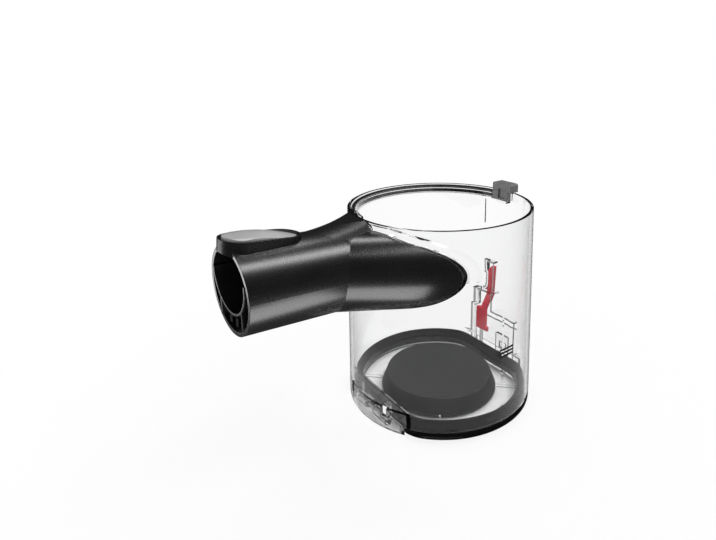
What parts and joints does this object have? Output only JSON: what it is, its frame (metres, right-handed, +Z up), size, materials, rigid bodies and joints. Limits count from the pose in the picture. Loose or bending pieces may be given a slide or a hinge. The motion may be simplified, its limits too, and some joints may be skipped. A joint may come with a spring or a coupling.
{
  "type": "cyclone dust bin",
  "caption": "Clear round dust bin with a black side inlet tube that turns along its wall, a release button on the tube, and a hinged base with a sealed rim and a red release slider.",
  "frame": {"origin": "on the bin's axis, on the underside of the base", "axes": "+Z up the bin, -Y towards the base hinge, with the inlet tube leaving 3.2 degrees from -Y towards +X and 3.7 degrees upwards"},
  "size_m": [0.114, 0.1905, 0.1309],
  "materials": {
    "clear": "clear",
    "inlet_black": "gloss",
    "inner_black": "satin",
    "seal_rubber": "matt",
    "puck_grey": "satin",
    "slider_red": "satin",
    "button_grey": "gloss",
    "lead_black": "satin",
    "steel": "satin",
    "contact_metal": "plated"
  },
  "bodies": {
    "bin": {"bin_body": "clear", "inlet_duct": "inlet_black", "duct_gasket": "seal_rubber", "inlet_liner": "inner_black", "contact_block": "inner_black", "contact_pins": "contact_metal", "lead_upper": "lead_black", "lead_lower": "lead_black", "lead_grommet": "seal_rubber", "lead_terminals": "contact_metal", "connector_housing": "inner_black", "connector_contacts": "contact_metal", "slider_guide": "clear", "slider_spring": "steel", "button_spring": "steel", "hinge_pin": "steel"},
    "lid": {"base_lid": "clear", "lid_seal": "seal_rubber", "lid_puck": "puck_grey"},
    "slider": {"release_slider": "slider_red"},
    "button": {"release_button": "button_grey"}
  },
  "joints": [
    {"name": "lid_hinge", "type": "hinge", "parent": "bin", "child": "lid", "pos_m": [0, -0.0504, 0.005], "axis": [-1, 0, 0], "range_deg": [0, 95]},
    {"name": "slider_push", "type": "slide", "parent": "bin", "child": "slider", "axis": [0, 0, -1], "range_m": [0, 0.004], "stiffness_N_per_m": 300, "springref_m": -0.002, "deforming": ["slider_spring"]},
    {"name": "button_rock", "type": "hinge", "parent": "bin", "child": "button", "pos_m": [0.00616, -0.11015, 0.12488], "axis": [-0.9984, -0.0558, 0], "range_deg": [0, 4], "stiffness_Nm_per_rad": 0.25, "springref_deg": -5.73, "deforming": ["button_spring"]}
  ]
}
